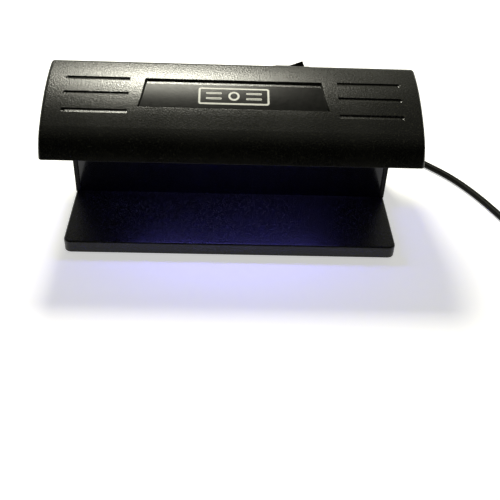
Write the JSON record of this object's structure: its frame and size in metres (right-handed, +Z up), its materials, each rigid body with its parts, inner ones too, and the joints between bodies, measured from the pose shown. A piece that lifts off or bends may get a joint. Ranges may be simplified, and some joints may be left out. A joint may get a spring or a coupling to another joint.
{
  "type": "counterfeit bill detector",
  "caption": "Compact black desk-top banknote checker: arched ultraviolet lamp hood over an open flat deck, rear column, rear rocker switch and mains lead.",
  "frame": {"origin": "middle of the footprint on the table, without the mains lead", "axes": "+X to the user's right along the hood, -Y towards the user, +Z up"},
  "size_m": [0.3429, 0.1609, 0.0866],
  "materials": {
    "black_plastic": "satin fine grain",
    "gloss_panel": "polished",
    "rocker_plastic": "satin",
    "clear_glass": "clear",
    "cap_metal": "satin",
    "brass": "bright",
    "white_plastic": "satin",
    "reflector_sheet": "bright",
    "rubber": "matt",
    "steel": "zinc plated",
    "board": "brown laminate",
    "ferrite": "matt",
    "copper": "enamelled wire",
    "component_black": "satin",
    "component_red": "dipped",
    "resistor": "lacquered",
    "wire_sleeve": "soft pvc",
    "cord_sheath": "satin pvc",
    "plug_plastic": "satin",
    "fuse_red": "satin"
  },
  "bodies": {
    "detector": {"hood_cover": "black_plastic", "hood_tray": "black_plastic", "lamp_reflector": "reflector_sheet", "lamp_holder_left": "white_plastic", "lamp_holder_right": "white_plastic", "lamp_holder_tabs_left": "brass", "lamp_holder_tabs_right": "brass", "base_shell": "black_plastic", "bottom_plate": "black_plastic", "foot_front_left": "rubber", "foot_front_right": "rubber", "foot_rear_left": "rubber", "foot_rear_right": "rubber", "column_housing": "black_plastic", "back_panel": "gloss_panel", "hood_screws": "steel", "tray_screws": "steel", "column_screws": "steel", "bottom_plate_screws": "steel", "board_screws": "steel", "switch_body": "rocker_plastic", "switch_terminals": "brass", "driver_board": "board", "choke_core": "ferrite", "choke_winding": "copper", "reservoir_capacitor": "component_black", "film_capacitors": "component_red", "drive_transistors": "component_black", "board_resistors": "resistor", "board_connector": "white_plastic", "lamp_leads_left": "wire_sleeve", "lamp_leads_right": "wire_sleeve", "switch_leads": "wire_sleeve", "mains_leads": "wire_sleeve", "cord_strain_relief": "cord_sheath", "power_cord": "cord_sheath", "cord_tail": "cord_sheath", "cord_coil": "cord_sheath", "cord_tie": "component_black", "plug_body": "plug_plastic", "plug_live_pins": "brass", "plug_earth_pin": "brass", "plug_fuse_carrier": "fuse_red"},
    "rocker": {"rocker": "rocker_plastic", "rocker_plunger": "white_plastic", "rocker_spring": "steel"},
    "contact_lever": {"switch_contact_lever": "brass"},
    "uv_tube": {"uv_tube_glass": "clear_glass", "uv_tube_cap_left": "cap_metal", "uv_tube_cap_right": "cap_metal", "uv_tube_pins_left": "brass", "uv_tube_pins_right": "brass"}
  },
  "joints": [
    {"name": "rocker_press", "type": "hinge", "parent": "detector", "child": "rocker", "pos_m": [0.0315, 0.02887, 0.07223], "axis": [0, 0.866, -0.5], "range_deg": [0, 20]},
    {"name": "contact_seesaw", "type": "hinge", "parent": "detector", "child": "contact_lever", "pos_m": [0.0315, 0.02557, 0.06652], "axis": [0, 0.866, -0.5], "range_deg": [-14, 0]},
    {"name": "tube_twist", "type": "hinge", "parent": "detector", "child": "uv_tube", "pos_m": [0, -0.014, 0.0694], "axis": [1, 0, 0], "range_deg": [0, 90]}
  ],
  "couplings": [
    {"joint": "contact_seesaw", "follows": "rocker_press", "ratio": -0.7}
  ]
}
